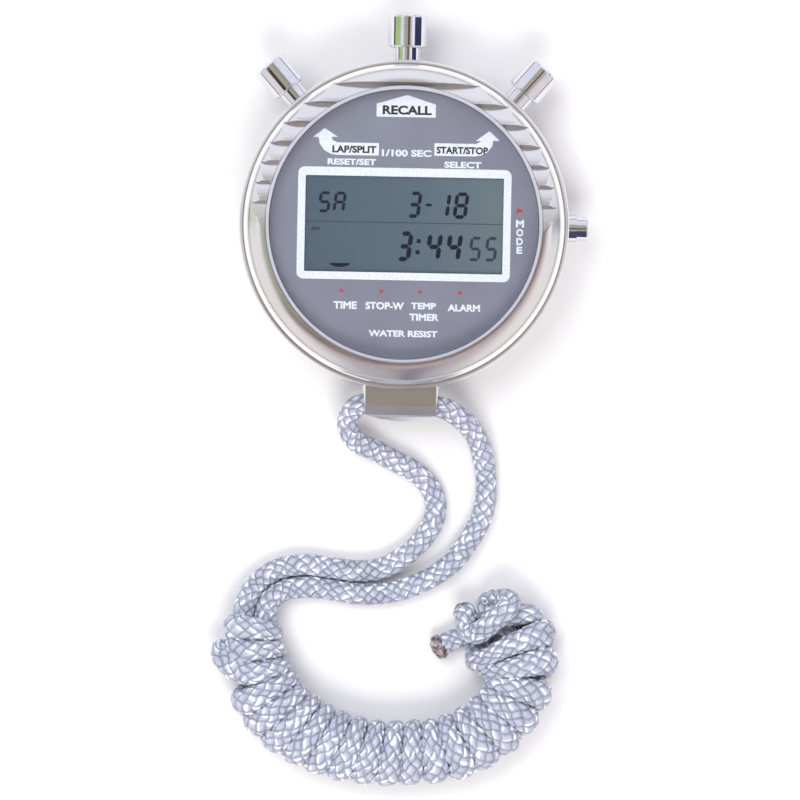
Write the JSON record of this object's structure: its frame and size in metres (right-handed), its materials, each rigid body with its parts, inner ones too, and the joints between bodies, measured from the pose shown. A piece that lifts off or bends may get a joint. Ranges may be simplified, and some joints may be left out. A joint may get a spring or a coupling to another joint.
{
  "type": "digital stopwatch",
  "caption": "Round metal-cased hand-held digital stopwatch with top plungers, a side mode button and a braided neck cord wound into a hank.",
  "frame": {"origin": "centre of the back cover's outer face, on the case's axis and on the surface that the stopwatch lies on", "axes": "+Z out of the display, +Y towards the middle plunger, +X towards the mode button"},
  "size_m": [0.0722, 0.1555, 0.0184],
  "materials": {
    "satin_chrome": "satin chrome plating over a cast case",
    "bezel_chrome": "satin chrome plating with crossways cuts",
    "mirror_chrome": "polished chrome plating",
    "back_steel": "turned steel",
    "screw_steel": "bright steel",
    "crystal_clear": "clear mineral glass",
    "gasket_white": "white nylon",
    "gasket_black": "black nitrile rubber",
    "dial_grey": "matt lilac-grey paint with white printing",
    "lcd_glass": "liquid crystal cell behind a polariser",
    "reflector_foil": "matt foil",
    "zebra_rubber": "striped conductive rubber",
    "module_plastic": "moulded plastic",
    "board_green": "green solder mask",
    "chip_epoxy": "black epoxy",
    "part_plastic": "sleeved component",
    "sensor_bead": "brown dipped bead",
    "spring_steel": "spring steel",
    "contact_brass": "plated spring brass",
    "battery_steel": "nickel-plated steel",
    "buzzer_brass": "brass disc with a pale ceramic layer",
    "cord_braid": "silver-lilac braided polyester"
  },
  "bodies": {
    "case": {"case_body": "satin_chrome", "bezel": "bezel_chrome", "crystal": "crystal_clear", "crystal_gasket": "gasket_white", "dial_plate": "dial_grey", "cord_lug": "satin_chrome", "back_cover": "back_steel", "back_gasket": "gasket_black", "back_screws": "screw_steel", "lcd_cell": "lcd_glass", "lcd_reflector": "reflector_foil", "zebra_strip_top": "zebra_rubber", "zebra_strip_bottom": "zebra_rubber", "module_frame": "module_plastic", "circuit_board": "board_green", "chip_blob": "chip_epoxy", "quartz_can": "spring_steel", "capacitor": "part_plastic", "temp_sensor": "sensor_bead", "battery": "battery_steel", "battery_clip": "spring_steel", "battery_contact": "contact_brass", "buzzer_disc": "buzzer_brass", "buzzer_spring": "spring_steel", "module_plate": "spring_steel", "module_spacers": "contact_brass", "module_screws": "screw_steel", "recall_contact": "contact_brass", "start_stop_contact": "contact_brass", "lap_reset_contact": "contact_brass", "mode_contact": "contact_brass", "recall_tube": "mirror_chrome", "recall_seal": "gasket_black", "recall_spring": "spring_steel", "start_stop_tube": "mirror_chrome", "start_stop_seal": "gasket_black", "start_stop_spring": "spring_steel", "lap_reset_tube": "mirror_chrome", "lap_reset_seal": "gasket_black", "lap_reset_spring": "spring_steel", "mode_tube": "mirror_chrome", "mode_seal": "gasket_black", "mode_spring": "spring_steel", "cord_left": "cord_braid", "cord_right": "cord_braid", "cord_hank": "cord_braid", "cord_knot": "cord_braid", "cord_tail": "cord_braid"},
    "recall_plunger": {"recall_cap": "mirror_chrome", "recall_stem": "spring_steel", "recall_clip": "spring_steel"},
    "start_stop_plunger": {"start_stop_cap": "mirror_chrome", "start_stop_stem": "spring_steel", "start_stop_clip": "spring_steel"},
    "lap_reset_plunger": {"lap_reset_cap": "mirror_chrome", "lap_reset_stem": "spring_steel", "lap_reset_clip": "spring_steel"},
    "mode_push": {"mode_button": "mirror_chrome", "mode_clip": "spring_steel"}
  },
  "joints": [
    {"name": "recall_press", "type": "slide", "parent": "case", "child": "recall_plunger", "axis": [0, -1, 0], "range_m": [0, 0.0014], "stiffness_N_per_m": 900, "springref_m": -0.0003, "deforming": ["recall_spring"]},
    {"name": "start_stop_press", "type": "slide", "parent": "case", "child": "start_stop_plunger", "axis": [-0.6561, -0.7547, 0], "range_m": [0, 0.0014], "stiffness_N_per_m": 900, "springref_m": -0.0003, "deforming": ["start_stop_spring"]},
    {"name": "lap_reset_press", "type": "slide", "parent": "case", "child": "lap_reset_plunger", "axis": [0.6561, -0.7547, 0], "range_m": [0, 0.0014], "stiffness_N_per_m": 900, "springref_m": -0.0003, "deforming": ["lap_reset_spring"]},
    {"name": "mode_press", "type": "slide", "parent": "case", "child": "mode_push", "axis": [-1, 0, 0], "range_m": [0, 0.0009], "stiffness_N_per_m": 800, "springref_m": -0.0003, "deforming": ["mode_spring"]}
  ]
}
